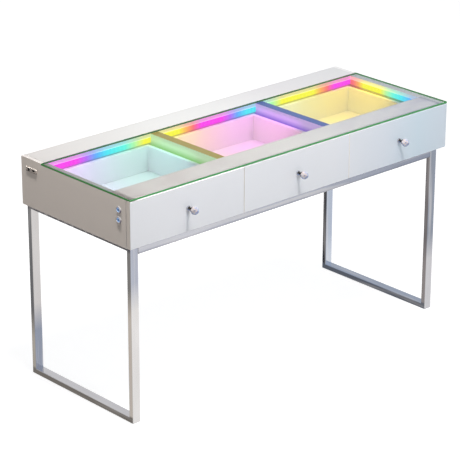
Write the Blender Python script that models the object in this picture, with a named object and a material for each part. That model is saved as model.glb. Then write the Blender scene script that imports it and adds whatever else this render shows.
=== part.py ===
"""A display table: three drawers under a glass top, lit wells, and two chrome sled legs.

Metres. X runs along the table, the drawers open towards -Y, and Z is up from the floor.
"""

import math

import bmesh
import bpy
from mathutils import Vector

# Overall size
WIDTH = 1.397
DEPTH = 0.533
HEIGHT = 0.760
BODY_HEIGHT = 0.163

# Boards and glass
BOARD = 0.016
LINER = 0.012
DIVIDER = 0.032
GLASS = 0.006
DECK_DEPTH = 0.100
STRIP_DEPTH = 0.0885
STRIP_BOARD = 0.012
FIT = 0.0003  # the gap between pieces that touch
EDGE = 0.0008  # the broken edge of a board
THROUGH = 0.005  # how far a cutter runs past the face that it opens
GLASS_GAP = 0.0005
GLASS_EDGE = 0.0007

# Drawers
FRONT = 0.018
FRONT_SEAM = 0.002
FRONT_STANDOFF = 0.0015
FRONT_ABOVE_BASE = 0.001
FRONT_BELOW_GLASS = 0.0012
ROUND_OVER = 0.0015
BOX_WALL = 0.012
BOX_BOTTOM = 0.006
GROOVE = 0.005
RUNNER_SPACE = 0.0125
BOX_LOW = 0.6225
BOX_RIM = 0.7215
BOX_FLOOR = 0.635
BOX_REAR_SPACE = 0.004

# Runners
RUNNER_LENGTH = 0.400
RUNNER_SHEET = 0.0012
RUNNER_SETBACK = 0.002
CABINET_MEMBER = 0.035
CABINET_REACH = 0.0098
DRAWER_MEMBER = 0.024
DRAWER_REACH = 0.003

# Knobs
BALL_RADIUS = 0.01325
BALL_CENTRE = 0.030
KNOB_HEIGHT = 0.6748
STUD_RADIUS = 0.002
STUD_LENGTH = 0.014

# Light strips
LED_HEIGHT = 0.017
LED_THICK = 0.003
LED_ROUND = 0.001
LED_LOW = 0.7242
LED_SIDE_START = 0.060

# Buttons, on the left side near the front
BUTTON_FROM_FRONT = 0.0521
BUTTON_HEIGHTS = {"upper": 0.7152, "lower": 0.6824}
BEZEL_RADIUS = 0.011
BEZEL_THICK = 0.0027
BEZEL_EDGE = 0.0008
BARREL_RADIUS = 0.0092
BARREL_END = 0.0225
CAP_RADIUS = 0.0080
CAP_LENGTH = 0.006
CAP_EDGE = 0.0005
CAP_PROUD = 0.0008
CAP_TRAVEL = 0.0015
POCKET_HALF_LENGTH = 0.012
POCKET_HALF_HEIGHT = 0.029
POCKET_DEPTH = 0.008
LEAD_GROOVE = 0.005

# Port plate, on the left side near the rear
PORT_HEIGHT = 0.7243
PLATE_SIZE = (0.055, 0.014, 0.0012)
PLATE_CORNER = 0.002
PLATE_LAP = (0.004, 0.001)  # how far it covers the panel at its ends, and above and below
PLATE_FROM_REAR = 0.0537
JACK_FROM_REAR = 0.0394
JACK_RADIUS = 0.0053
JACK_BORE = 0.0034
JACK_LENGTH = 0.030
JACK_PROUD = 0.0008
JACK_EDGE = 0.0005
JACK_DEPTH = 0.010
JACK_PIN_RADIUS = 0.001
JACK_PIN_SETBACK = 0.002
USB_FROM_REAR = 0.0630
USB_SIZE = (0.0131, 0.0057)
USB_LENGTH = 0.0225
USB_SHEET = 0.0005
USB_DEPTH = 0.012
USB_TONGUE = (0.0002, 0.0018)  # its underside and its top, above the middle of the socket
USB_TONGUE_SETBACK = 0.0015
USB_TONGUE_SIDE_SPACE = 0.0012

# Controller, in the closed space behind the wells
CONTROLLER_SIZE = (0.105, 0.040, 0.022)
CONTROLLER_X = -0.5725
CONTROLLER_FROM_REAR = 0.050
CONTROLLER_ROUND = 0.002
STRIP_LEAD_X = -0.460
STRIP_LEAD_HOLE = 0.003

# Leads
POWER_LEAD_RADIUS = 0.0018
USB_LEAD_RADIUS = 0.0015
BUTTON_LEAD_RADIUS = 0.0012
STRIP_LEAD_RADIUS = 0.0014

# Leg frame
TUBE_WIDE = 0.0315
TUBE_THIN = 0.018
TUBE_ROUND = 0.0025
TUBE_WALL = 0.0012
SLED_INSET = 0.018
SLED_SETBACK = 0.023
SCREW_HOLE_RADIUS = 0.0035
SCREW_FROM_ENDS = 0.110

KNOB_REACH = BALL_CENTRE + BALL_RADIUS
SIDE = WIDTH / 2
FACE = KNOB_REACH / 2 - DEPTH / 2  # Y of the drawer fronts' face
REAR = KNOB_REACH / 2 + DEPTH / 2
BASE = HEIGHT - BODY_HEIGHT  # Z of the body's underside
CARCASS = FACE + FRONT + FRONT_STANDOFF  # Y of the boards' front edges
INNER_SIDE = SIDE - BOARD - FIT
UNDER_GLASS = HEIGHT - GLASS - FIT
WELL_REAR = REAR - DECK_DEPTH
FLOOR = BASE + BOARD + FIT
DIVIDER_X = WIDTH / 6
WELL_SIDE = SIDE - BOARD - LINER
SEAM_X = DIVIDER_X - FRONT_SEAM / 2
BUTTON_MIDDLE = sum(BUTTON_HEIGHTS.values()) / 2

# name: (low, high) X of the space between its walls
BAYS = {
    "left": (-WELL_SIDE, -DIVIDER_X - DIVIDER / 2),
    "center": (-DIVIDER_X + DIVIDER / 2, DIVIDER_X - DIVIDER / 2),
    "right": (DIVIDER_X + DIVIDER / 2, WELL_SIDE),
}
# name: (low, high) X of its drawer front
FRONTS = {
    "left": (-SIDE, -SEAM_X - FRONT_SEAM),
    "center": (-SEAM_X, SEAM_X),
    "right": (SEAM_X + FRONT_SEAM, SIDE),
}

FINISHES = {
    # name: (colour, roughness, metallic)
    "white_lacquer": ((0.83, 0.84, 0.86), 0.18, 0.0),
    "chrome": ((0.80, 0.81, 0.83), 0.06, 1.0),
    "clear_glass": ((0.86, 0.96, 0.90), 0.02, 0.0),
    "cut_glass": ((0.93, 0.93, 0.95), 0.02, 0.0),
    "led_diffuser": ((0.95, 0.95, 0.95), 0.45, 0.0),
    "runner_steel": ((0.62, 0.64, 0.66), 0.35, 1.0),
    "socket_metal": ((0.70, 0.71, 0.72), 0.30, 1.0),
    "black_plastic": ((0.03, 0.03, 0.035), 0.40, 0.0),
    "button_cap": ((0.06, 0.09, 0.28), 0.25, 0.0),
    "lead_jacket": ((0.05, 0.05, 0.05), 0.60, 0.0),
}


def finish(name):
    """The Principled material of this name."""
    if name in bpy.data.materials:
        return bpy.data.materials[name]
    colour, roughness, metallic = FINISHES[name]
    material = bpy.data.materials.new(name)
    material.use_nodes = True
    shader = material.node_tree.nodes["Principled BSDF"]
    shader.inputs["Base Color"].default_value = (*colour, 1.0)
    shader.inputs["Roughness"].default_value = roughness
    shader.inputs["Metallic"].default_value = metallic
    if "glass" in name:
        shader.inputs["Transmission Weight"].default_value = 1.0
    material.diffuse_color = (*colour, 1.0)
    return material


def add(name, data, material, origin=(0, 0, 0), parent=None):
    """Links an object whose data is drawn about its own origin, which lies at `origin` in the world."""
    obj = bpy.data.objects.new(name, data)
    bpy.context.scene.collection.objects.link(obj)
    obj.location = Vector(origin)
    if parent:
        obj.parent = parent
        obj.location = Vector(origin) - parent.location
    data.materials.append(finish(material))
    return obj


def solid(name, mesh, material, origin=(0, 0, 0), parent=None, smooth_angle=None):
    """Turns a bmesh into an object with its faces pointing out."""
    bmesh.ops.recalc_face_normals(mesh, faces=mesh.faces)
    data = bpy.data.meshes.new(name)
    mesh.to_mesh(data)
    mesh.free()
    if smooth_angle:
        data.shade_smooth()
        data.set_sharp_from_angle(angle=math.radians(smooth_angle))
    return add(name, data, material, origin, parent)


def bevel(obj, width, segments=1):
    modifier = obj.modifiers.new("edges", "BEVEL")
    modifier.width = width
    modifier.segments = segments
    modifier.limit_method = "ANGLE"
    modifier.angle_limit = math.radians(50)
    return obj


def cut(obj, cutter):
    """Takes the cutter's shape out of the object."""
    cutter.hide_render = True
    cutter.display_type = "WIRE"
    modifier = obj.modifiers.new(cutter.name, "BOOLEAN")
    modifier.operation = "DIFFERENCE"
    modifier.solver = "EXACT"
    modifier.object = cutter
    return obj


def prism(name, outline, axis, low, high, material, parent=None):
    """An outline drawn across `axis` (0 for X, 1 for Y, 2 for Z) and run from low to high along it."""
    across = [index for index in range(3) if index != axis]
    mesh = bmesh.new()
    ends = []
    for distance in (low, high):
        end = []
        for first, second in outline:
            point = Vector((0, 0, 0))
            point[axis] = distance
            point[across[0]] = first
            point[across[1]] = second
            end.append(mesh.verts.new(point))
        mesh.faces.new(end)
        ends.append(end)
    count = len(outline)
    for index in range(count):
        following = (index + 1) % count
        mesh.faces.new((ends[0][index], ends[0][following], ends[1][following], ends[1][index]))
    return solid(name, mesh, material, parent=parent)


def box(name, low, high, material, parent=None):
    outline = [(low[0], low[1]), (high[0], low[1]), (high[0], high[1]), (low[0], high[1])]
    return prism(name, outline, 2, low[2], high[2], material, parent)


def ring(name, low, high, axis, section, material, parent=None):
    """A closed frame: the section's (inset, position along `axis`) points run round a rectangle."""
    across = [index for index in range(3) if index != axis]
    mesh = bmesh.new()
    corners = []
    for first, second in ((0, 0), (1, 0), (1, 1), (0, 1)):
        corner = []
        for inset, position in section:
            point = Vector((0, 0, 0))
            point[axis] = position
            point[across[0]] = high[0] - inset if first else low[0] + inset
            point[across[1]] = high[1] - inset if second else low[1] + inset
            corner.append(mesh.verts.new(point))
        corners.append(corner)
    count = len(section)
    for index in range(4):
        here = corners[index]
        there = corners[(index + 1) % 4]
        for point in range(count):
            following = (point + 1) % count
            mesh.faces.new((here[point], here[following], there[following], there[point]))
    return solid(name, mesh, material, parent=parent, smooth_angle=40)


def turned(name, profile, direction, origin, material, sides=24, parent=None):
    """A solid of revolution. Its (radius, distance along `direction`) points start and end on the axis."""
    along = Vector(direction)
    across = along.orthogonal().normalized()
    other = along.cross(across)
    mesh = bmesh.new()
    rings = []
    for radius, distance in profile:
        if radius == 0:
            rings.append([mesh.verts.new(along * distance)])
            continue
        turn = []
        for side in range(sides):
            angle = 2 * math.pi * side / sides
            outward = across * math.cos(angle) + other * math.sin(angle)
            turn.append(mesh.verts.new(along * distance + outward * radius))
        rings.append(turn)
    for first, second in zip(rings, rings[1:]):
        for side in range(sides):
            following = side + 1
            corners = [
                first[side % len(first)],
                first[following % len(first)],
                second[following % len(second)],
                second[side % len(second)],
            ]
            mesh.faces.new(list(dict.fromkeys(corners)))
    return solid(name, mesh, material, origin, parent, smooth_angle=35)


def bore(radius, start, end):
    """The profile of a plain round hole, to be turned as a cutter."""
    return [(0, start), (radius, start), (radius, end), (0, end)]


def rounded_rectangle(low, high, radius, steps=3):
    """The corner points of a rectangle with round corners, in order."""
    points = []
    centres = (
        (high[0] - radius, high[1] - radius),
        (low[0] + radius, high[1] - radius),
        (low[0] + radius, low[1] + radius),
        (high[0] - radius, low[1] + radius),
    )
    for quarter, (across, up) in enumerate(centres):
        for step in range(steps + 1):
            angle = math.pi / 2 * (quarter + step / steps)
            points.append((across + radius * math.cos(angle), up + radius * math.sin(angle)))
    return points


def lead(name, route, radius):
    """A round lead on a smooth curve through the route's points."""
    points = [Vector(point) for point in route]
    padded = [2 * points[0] - points[1], *points, 2 * points[-1] - points[-2]]
    smooth = []
    for before, start, end, after in zip(padded, padded[1:], padded[2:], padded[3:]):
        steps = max(2, math.ceil((end - start).length / (6 * radius)))
        for step in range(steps):
            t = step / steps
            smooth.append(
                0.5
                * (
                    2 * start
                    + (end - before) * t
                    + (2 * before - 5 * start + 4 * end - after) * t**2
                    + (3 * start - before - 3 * end + after) * t**3
                )
            )
    smooth.append(points[-1])
    curve = bpy.data.curves.new(name, "CURVE")
    curve.dimensions = "3D"
    curve.bevel_depth = radius
    curve.bevel_resolution = 2
    curve.use_fill_caps = True
    spline = curve.splines.new("POLY")
    spline.points.add(len(smooth) - 1)
    for spot, point in zip(spline.points, smooth):
        spot.co = (*point, 1.0)
    return add(name, curve, "lead_jacket")


def wall_outline(rear):
    """The Y, Z outline of a liner or a divider, notched at the front for the strip under the glass."""
    notch_rear = CARCASS + STRIP_DEPTH + FIT
    notch_floor = UNDER_GLASS - STRIP_BOARD - FIT
    return [
        (CARCASS, FLOOR),
        (rear, FLOOR),
        (rear, UNDER_GLASS),
        (notch_rear, UNDER_GLASS),
        (notch_rear, notch_floor),
        (CARCASS, notch_floor),
    ]


def make_side_panels():
    """Outer sides, lower under the glass and level with it beside the rear deck."""
    outline = [
        (CARCASS, BASE),
        (REAR, BASE),
        (REAR, HEIGHT),
        (WELL_REAR, HEIGHT),
        (WELL_REAR, UNDER_GLASS),
        (CARCASS, UNDER_GLASS),
    ]
    left = prism("left_side_panel", outline, 0, -SIDE, -SIDE + BOARD, "white_lacquer")
    bevel(left, EDGE)
    for place, height in BUTTON_HEIGHTS.items():
        hole = bore(BARREL_RADIUS + FIT, -THROUGH, BOARD + THROUGH)
        origin = (-SIDE, FACE + BUTTON_FROM_FRONT, height)
        cut(left, turned(f"cut_{place}_button_hole", hole, (1, 0, 0), origin, "white_lacquer"))
    half_length = PLATE_SIZE[0] / 2 - PLATE_LAP[0]
    half_height = PLATE_SIZE[1] / 2 - PLATE_LAP[1]
    plate_y = REAR - PLATE_FROM_REAR
    low = (-SIDE - THROUGH, plate_y - half_length, PORT_HEIGHT - half_height)
    high = (-SIDE + BOARD + THROUGH, plate_y + half_length, PORT_HEIGHT + half_height)
    cut(left, box("cut_port_opening", low, high, "white_lacquer"))
    bevel(prism("right_side_panel", outline, 0, SIDE - BOARD, SIDE, "white_lacquer"), EDGE)


def make_liners():
    """Boards that thicken the sides. The left one holds the buttons' barrels and their lead."""
    outline = wall_outline(WELL_REAR - FIT)
    left = prism("left_liner", outline, 0, -INNER_SIDE, -WELL_SIDE, "white_lacquer")
    button_y = FACE + BUTTON_FROM_FRONT
    pocket_low = (-SIDE, button_y - POCKET_HALF_LENGTH, BUTTON_MIDDLE - POCKET_HALF_HEIGHT)
    pocket_high = (
        -INNER_SIDE + POCKET_DEPTH,
        button_y + POCKET_HALF_LENGTH,
        BUTTON_MIDDLE + POCKET_HALF_HEIGHT,
    )
    cut(left, box("cut_button_pocket", pocket_low, pocket_high, "white_lacquer"))
    groove_low = (-SIDE, button_y, BUTTON_MIDDLE - LEAD_GROOVE / 2)
    groove_high = (-INNER_SIDE + LEAD_GROOVE, REAR, BUTTON_MIDDLE + LEAD_GROOVE / 2)
    cut(left, box("cut_lead_groove", groove_low, groove_high, "white_lacquer"))
    prism("right_liner", outline, 0, WELL_SIDE, INNER_SIDE, "white_lacquer")


def make_dividers():
    for name, centre in (("left_divider", -DIVIDER_X), ("right_divider", DIVIDER_X)):
        low = centre - DIVIDER / 2
        prism(name, wall_outline(WELL_REAR - FIT), 0, low, low + DIVIDER, "white_lacquer")


def make_boards():
    """The flat boards between the side panels."""
    inner = INNER_SIDE
    rear_face = REAR - BOARD
    deck_under = HEIGHT - BOARD
    boards = {
        "bottom_panel": ((-inner, CARCASS, BASE), (inner, rear_face - FIT, BASE + BOARD)),
        "rear_panel": ((-inner, rear_face, BASE), (inner, REAR, deck_under - FIT)),
        "well_back_wall": ((-inner, WELL_REAR, FLOOR), (inner, WELL_REAR + BOARD, deck_under - FIT)),
        "rear_deck": ((-inner, WELL_REAR, deck_under), (inner, REAR, HEIGHT)),
        "front_top_strip": (
            (-inner, CARCASS, UNDER_GLASS - STRIP_BOARD),
            (inner, CARCASS + STRIP_DEPTH, UNDER_GLASS),
        ),
    }
    made = {}
    for name, (low, high) in boards.items():
        made[name] = box(name, low, high, "white_lacquer")
    for name in ("bottom_panel", "rear_panel", "rear_deck"):
        bevel(made[name], EDGE)
    wall = made["well_back_wall"]
    low = (-SIDE, WELL_REAR - THROUGH, BUTTON_MIDDLE - LEAD_GROOVE)
    high = (-INNER_SIDE + LEAD_GROOVE, WELL_REAR + BOARD + THROUGH, BUTTON_MIDDLE + LEAD_GROOVE)
    cut(wall, box("cut_lead_notch", low, high, "white_lacquer"))
    hole = bore(STRIP_LEAD_HOLE, -THROUGH, BOARD + THROUGH)
    origin = (STRIP_LEAD_X, WELL_REAR, LED_LOW + LED_HEIGHT / 2)
    cut(wall, turned("cut_strip_lead_hole", hole, (0, 1, 0), origin, "white_lacquer", sides=16))


def make_glass_top():
    low = (-SIDE, FACE, HEIGHT - GLASS)
    high = (SIDE, WELL_REAR - GLASS_GAP, HEIGHT)
    bevel(box("glass_top", low, high, "clear_glass"), GLASS_EDGE)


def make_led_strips():
    """Strips round the tops of the wells, on the back wall and on the two outer walls."""
    top = LED_LOW + LED_HEIGHT
    face = WELL_REAR - FIT - LED_THICK
    for name, (low, high) in BAYS.items():
        corners = ((low + FIT, face, LED_LOW), (high - FIT, WELL_REAR - FIT, top))
        bevel(box(f"led_strip_rear_{name}", *corners, "led_diffuser"), LED_ROUND)
    start = FACE + LED_SIDE_START
    end = face - FIT
    wall = WELL_SIDE - FIT
    left = ((-wall, start, LED_LOW), (-wall + LED_THICK, end, top))
    right = ((wall - LED_THICK, start, LED_LOW), (wall, end, top))
    bevel(box("led_strip_side_left", *left, "led_diffuser"), LED_ROUND)
    bevel(box("led_strip_side_right", *right, "led_diffuser"), LED_ROUND)


def channel(name, wall, towards, start, reach, half_height, material, parent=None):
    """A steel channel along Y: a web at X = wall, and flanges that run towards (+1 or -1 in X)."""
    tip = wall + towards * reach
    web = wall + towards * RUNNER_SHEET
    inner = half_height - RUNNER_SHEET
    middle = (BOX_LOW + BOX_RIM) / 2
    section = (
        (wall, -half_height),
        (tip, -half_height),
        (tip, -inner),
        (web, -inner),
        (web, inner),
        (tip, inner),
        (tip, half_height),
        (wall, half_height),
    )
    outline = [(across, middle + up) for across, up in section]
    return prism(name, outline, 1, start, start + RUNNER_LENGTH, material, parent)


def make_runners(name, parent):
    """Two side-mounted runners, each a channel on the carcass and one on the drawer inside it."""
    start = CARCASS + RUNNER_SETBACK
    low, high = BAYS[name]
    for side, wall, towards in (("left", low, 1), ("right", high, -1)):
        cabinet_wall = wall + towards * FIT
        drawer_wall = wall + towards * (RUNNER_SPACE - FIT)
        reach = CABINET_REACH - FIT
        inward = RUNNER_SPACE - FIT - DRAWER_REACH
        channel(
            f"{name}_cabinet_runner_{side}", cabinet_wall, towards, start, reach,
            CABINET_MEMBER / 2, "runner_steel",
        )
        channel(
            f"{name}_drawer_runner_{side}", drawer_wall, -towards, start, inward,
            DRAWER_MEMBER / 2, "runner_steel", parent,
        )


def make_drawer_front(name, centre, parent):
    low_x, high_x = FRONTS[name]
    low = (low_x, FACE, BASE + FRONT_ABOVE_BASE)
    high = (high_x, FACE + FRONT, UNDER_GLASS - FRONT_BELOW_GLASS)
    front = bevel(box(f"{name}_drawer_front", low, high, "white_lacquer", parent), ROUND_OVER, 2)
    hole = bore(STUD_RADIUS + FIT, -THROUGH, STUD_LENGTH + FIT)
    origin = (centre, FACE, KNOB_HEIGHT)
    cut(front, turned(f"cut_{name}_stud_hole", hole, (0, 1, 0), origin, "white_lacquer", sides=12))


def make_drawer_box(name, parent):
    """Four walls with a groove round the inside, and the bottom that sits in it."""
    low_x = BAYS[name][0] + RUNNER_SPACE
    high_x = BAYS[name][1] - RUNNER_SPACE
    low_y = FACE + FRONT + FIT
    high_y = WELL_REAR - BOX_REAR_SPACE
    under = BOX_FLOOR - BOX_BOTTOM
    section = [
        (0, BOX_LOW),
        (BOX_WALL, BOX_LOW),
        (BOX_WALL, under - FIT),
        (BOX_WALL - GROOVE, under - FIT),
        (BOX_WALL - GROOVE, BOX_FLOOR + FIT),
        (BOX_WALL, BOX_FLOOR + FIT),
        (BOX_WALL, BOX_RIM - ROUND_OVER),
        (BOX_WALL - ROUND_OVER, BOX_RIM),
        (ROUND_OVER, BOX_RIM),
        (0, BOX_RIM - ROUND_OVER),
    ]
    ring(f"{name}_drawer_box", (low_x, low_y), (high_x, high_y), 2, section, "white_lacquer", parent)
    inset = BOX_WALL - GROOVE + FIT
    low = (low_x + inset, low_y + inset, under)
    high = (high_x - inset, high_y - inset, BOX_FLOOR)
    box(f"{name}_drawer_bottom", low, high, "white_lacquer", parent)


def make_knob_stem(name, centre, parent):
    """A foot, a waisted neck and a cup for the ball, with a stud into the drawer front."""
    seat = BALL_RADIUS + FIT
    cup = [(radius, BALL_CENTRE - math.sqrt(seat**2 - radius**2)) for radius in (0.008, 0.006, 0.003, 0)]
    profile = [
        (0, -STUD_LENGTH),
        (STUD_RADIUS, -STUD_LENGTH),
        (STUD_RADIUS, FIT),
        (0.0085, FIT),
        (0.0085, 0.0016),
        (0.0070, 0.0030),
        (0.0048, 0.0055),
        (0.0045, 0.0100),
        (0.0060, 0.0140),
        (0.0088, 0.0178),
        *cup,
    ]
    turned(f"{name}_knob_stem", profile, (0, -1, 0), (centre, FACE, KNOB_HEIGHT), "chrome", 24, parent)


def make_knob_ball(name, centre, parent):
    """A cut-glass ball: rows of facets, each row turned half a facet from the next."""
    facets = 12
    rows = 7
    mesh = bmesh.new()
    for row in range(rows):
        tilt = math.pi * (row + 0.5) / rows
        for facet in range(facets):
            turn = 2 * math.pi * (facet + row % 2 / 2) / facets
            across = math.sin(tilt)
            point = Vector((across * math.cos(turn), -math.cos(tilt), across * math.sin(turn)))
            mesh.verts.new(point * BALL_RADIUS)
    bmesh.ops.convex_hull(mesh, input=mesh.verts)
    solid(f"{name}_knob_ball", mesh, "cut_glass", (centre, FACE - BALL_CENTRE, KNOB_HEIGHT), parent)


def make_drawer(name):
    """One drawer: everything that slides out together hangs from one empty."""
    centre = sum(FRONTS[name]) / 2
    slide = bpy.data.objects.new(f"{name}_drawer_slide", None)
    bpy.context.scene.collection.objects.link(slide)
    slide.location = (centre, FACE, KNOB_HEIGHT)
    make_drawer_front(name, centre, slide)
    make_drawer_box(name, slide)
    make_knob_stem(name, centre, slide)
    make_knob_ball(name, centre, slide)
    make_runners(name, slide)


def make_button(place, height):
    """A push button: a bezel and barrel fixed in the side, and a cap that slides in it along X."""
    origin = (-SIDE, FACE + BUTTON_FROM_FRONT, height)
    face = FIT + BEZEL_THICK
    well_floor = face + CAP_PROUD - CAP_LENGTH - CAP_TRAVEL - FIT
    profile = [
        (0, -BARREL_END),
        (BARREL_RADIUS, -BARREL_END),
        (BARREL_RADIUS, FIT),
        (BEZEL_RADIUS, FIT),
        (BEZEL_RADIUS, face - BEZEL_EDGE),
        (BEZEL_RADIUS - BEZEL_EDGE, face),
        (CAP_RADIUS + FIT, face),
        (CAP_RADIUS + FIT, well_floor),
        (0, well_floor),
    ]
    turned(f"{place}_button_housing", profile, (-1, 0, 0), origin, "chrome", 32)
    tip = face + CAP_PROUD
    cap = [
        (0, tip - CAP_LENGTH),
        (CAP_RADIUS, tip - CAP_LENGTH),
        (CAP_RADIUS, tip - CAP_EDGE),
        (CAP_RADIUS - CAP_EDGE, tip),
        (0, tip),
    ]
    turned(f"{place}_button_cap", cap, (-1, 0, 0), origin, "button_cap", 32)


def make_port_plate():
    length, height, thick = PLATE_SIZE
    middle = REAR - PLATE_FROM_REAR
    outline = rounded_rectangle(
        (middle - length / 2, PORT_HEIGHT - height / 2),
        (middle + length / 2, PORT_HEIGHT + height / 2),
        PLATE_CORNER,
    )
    plate = prism("port_plate", outline, 0, -SIDE - FIT - thick, -SIDE - FIT, "white_lacquer")
    hole = bore(JACK_RADIUS + FIT, -THROUGH, THROUGH)
    origin = (-SIDE, REAR - JACK_FROM_REAR, PORT_HEIGHT)
    cut(plate, turned("cut_jack_hole", hole, (1, 0, 0), origin, "white_lacquer"))
    usb_y = REAR - USB_FROM_REAR
    half_length = USB_SIZE[0] / 2 + FIT
    half_height = USB_SIZE[1] / 2 + FIT
    low = (-SIDE - THROUGH, usb_y - half_length, PORT_HEIGHT - half_height)
    high = (-SIDE + THROUGH, usb_y + half_length, PORT_HEIGHT + half_height)
    cut(plate, box("cut_usb_slot", low, high, "white_lacquer"))


def make_power_jack():
    """A barrel socket with its centre pin."""
    mouth = FIT + PLATE_SIZE[2] + JACK_PROUD
    profile = [
        (0, mouth - JACK_LENGTH),
        (JACK_RADIUS, mouth - JACK_LENGTH),
        (JACK_RADIUS, mouth - JACK_EDGE),
        (JACK_RADIUS - JACK_EDGE, mouth),
        (JACK_BORE, mouth),
        (JACK_BORE, mouth - JACK_DEPTH),
        (JACK_PIN_RADIUS, mouth - JACK_DEPTH),
        (JACK_PIN_RADIUS, mouth - JACK_PIN_SETBACK),
        (0, mouth - JACK_PIN_SETBACK),
    ]
    origin = (-SIDE, REAR - JACK_FROM_REAR, PORT_HEIGHT)
    turned("power_jack", profile, (-1, 0, 0), origin, "black_plastic", 24)


def make_usb_socket():
    """A sheet shell with a tongue in it, closed at the back."""
    middle = REAR - USB_FROM_REAR
    half_length = USB_SIZE[0] / 2
    half_height = USB_SIZE[1] / 2
    mouth = -SIDE - FIT - PLATE_SIZE[2]
    low = (mouth, middle - half_length, PORT_HEIGHT - half_height)
    high = (mouth + USB_LENGTH, middle + half_length, PORT_HEIGHT + half_height)
    shell = box("usb_socket", low, high, "socket_metal")
    tongue_half = half_length - USB_TONGUE_SIDE_SPACE
    inner_length = half_length - USB_SHEET
    inner_height = half_height - USB_SHEET
    depth = mouth + USB_DEPTH
    outline = [
        (middle - inner_length, PORT_HEIGHT - inner_height),
        (middle + inner_length, PORT_HEIGHT - inner_height),
        (middle + inner_length, PORT_HEIGHT + inner_height),
        (middle - inner_length, PORT_HEIGHT + inner_height),
    ]
    hollow = prism("cut_usb_hollow", outline, 0, mouth - THROUGH, depth, "socket_metal")
    tongue = (
        (mouth + USB_TONGUE_SETBACK, middle - tongue_half, PORT_HEIGHT + USB_TONGUE[0]),
        (depth + THROUGH, middle + tongue_half, PORT_HEIGHT + USB_TONGUE[1]),
    )
    cut(hollow, box("cut_usb_tongue", *tongue, "socket_metal"))
    cut(shell, hollow)


def make_controller():
    length, depth, height = CONTROLLER_SIZE
    middle = REAR - CONTROLLER_FROM_REAR
    low = (CONTROLLER_X - length / 2, middle - depth / 2, FLOOR)
    high = (CONTROLLER_X + length / 2, middle + depth / 2, FLOOR + height)
    bevel(box("led_controller", low, high, "black_plastic"), CONTROLLER_ROUND, 2)


def make_leads():
    """Leads from the sockets and buttons to the controller, and from it to the strips."""
    near_end = CONTROLLER_X - CONTROLLER_SIZE[0] / 2 - FIT
    far_end = CONTROLLER_X + CONTROLLER_SIZE[0] / 2 + FIT
    middle = REAR - CONTROLLER_FROM_REAR
    jack_y = REAR - JACK_FROM_REAR
    jack_end = -SIDE - FIT - PLATE_SIZE[2] - JACK_PROUD + JACK_LENGTH + FIT
    usb_y = REAR - USB_FROM_REAR
    usb_end = -SIDE - FIT - PLATE_SIZE[2] + USB_LENGTH + FIT
    height = FLOOR + CONTROLLER_SIZE[2] / 2
    lead("power_lead", [
        (jack_end, jack_y, PORT_HEIGHT),
        (jack_end + 0.010, jack_y, PORT_HEIGHT - 0.001),
        (jack_end + 0.020, jack_y - 0.001, PORT_HEIGHT - 0.020),
        (jack_end + 0.020, jack_y - 0.003, PORT_HEIGHT - 0.055),
        (near_end - 0.017, jack_y - 0.004, height + 0.010),
        (near_end - 0.006, jack_y - 0.004, height + 0.001),
        (near_end, jack_y - 0.004, height),
    ], POWER_LEAD_RADIUS)
    lead("usb_lead", [
        (usb_end, usb_y, PORT_HEIGHT),
        (usb_end + 0.010, usb_y, PORT_HEIGHT - 0.001),
        (usb_end + 0.018, usb_y, PORT_HEIGHT - 0.020),
        (usb_end + 0.021, usb_y + 0.002, PORT_HEIGHT - 0.060),
        (near_end - 0.020, usb_y + 0.009, height + 0.009),
        (near_end - 0.007, usb_y + 0.011, height + 0.001),
        (near_end, usb_y + 0.011, height),
    ], USB_LEAD_RADIUS)
    groove_x = -INNER_SIDE + LEAD_GROOVE / 2
    groove_z = BUTTON_MIDDLE
    lead("button_lead", [
        (groove_x, FACE + BUTTON_FROM_FRONT, groove_z),
        (groove_x, FACE + 0.150, groove_z),
        (groove_x, FACE + 0.290, groove_z),
        (groove_x, WELL_REAR - 0.010, groove_z),
        (groove_x, WELL_REAR + BOARD, groove_z),
        (groove_x + 0.004, WELL_REAR + BOARD + 0.007, groove_z - 0.008),
        (groove_x + 0.014, middle - 0.024, groove_z - 0.035),
        (near_end - 0.022, middle - 0.018, height + 0.012),
        (near_end - 0.007, middle - 0.014, height + 0.001),
        (near_end, middle - 0.014, height),
    ], BUTTON_LEAD_RADIUS)
    strip_z = LED_LOW + LED_HEIGHT / 2
    lead("strip_lead", [
        (far_end, middle, height),
        (far_end + 0.010, middle, height + 0.001),
        (STRIP_LEAD_X - 0.012, middle - 0.003, height + 0.025),
        (STRIP_LEAD_X, middle - 0.007, strip_z - 0.030),
        (STRIP_LEAD_X, middle - 0.016, strip_z - 0.004),
        (STRIP_LEAD_X, WELL_REAR + BOARD - 0.002, strip_z),
        (STRIP_LEAD_X, WELL_REAR, strip_z),
    ], STRIP_LEAD_RADIUS)


def tube_section(low, high, wall):
    """A tube's outer outline or, with a wall, its inner one."""
    inner_low = (low[0] + wall, low[1] + wall)
    inner_high = (high[0] - wall, high[1] - wall)
    return rounded_rectangle(inner_low, inner_high, TUBE_ROUND - wall)


def make_sleds():
    """Each leg frame is one welded loop of tube, with screw holes through its top bar."""
    top = BASE - FIT
    front = FACE + SLED_SETBACK
    hole = bore(SCREW_HOLE_RADIUS, -THROUGH, TUBE_THIN + THROUGH)
    for name, side in (("left_sled", -1), ("right_sled", 1)):
        outer = side * (SIDE - SLED_INSET)
        inner = outer - side * TUBE_WIDE
        low = (0, min(outer, inner))
        high = (TUBE_THIN, max(outer, inner))
        sled = ring(name, (front, 0), (REAR, top), 0, tube_section(low, high, 0), "chrome")
        inside = tube_section(low, high, TUBE_WALL)
        cut(sled, ring(f"cut_{name}_inside", (front, 0), (REAR, top), 0, inside, "chrome"))
        for place, across in (("front", front + SCREW_FROM_ENDS), ("rear", REAR - SCREW_FROM_ENDS)):
            origin = ((outer + inner) / 2, across, top)
            cutter = turned(f"cut_{name}_{place}_screw_hole", hole, (0, 0, -1), origin, "chrome", 12)
            cut(sled, cutter)


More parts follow.
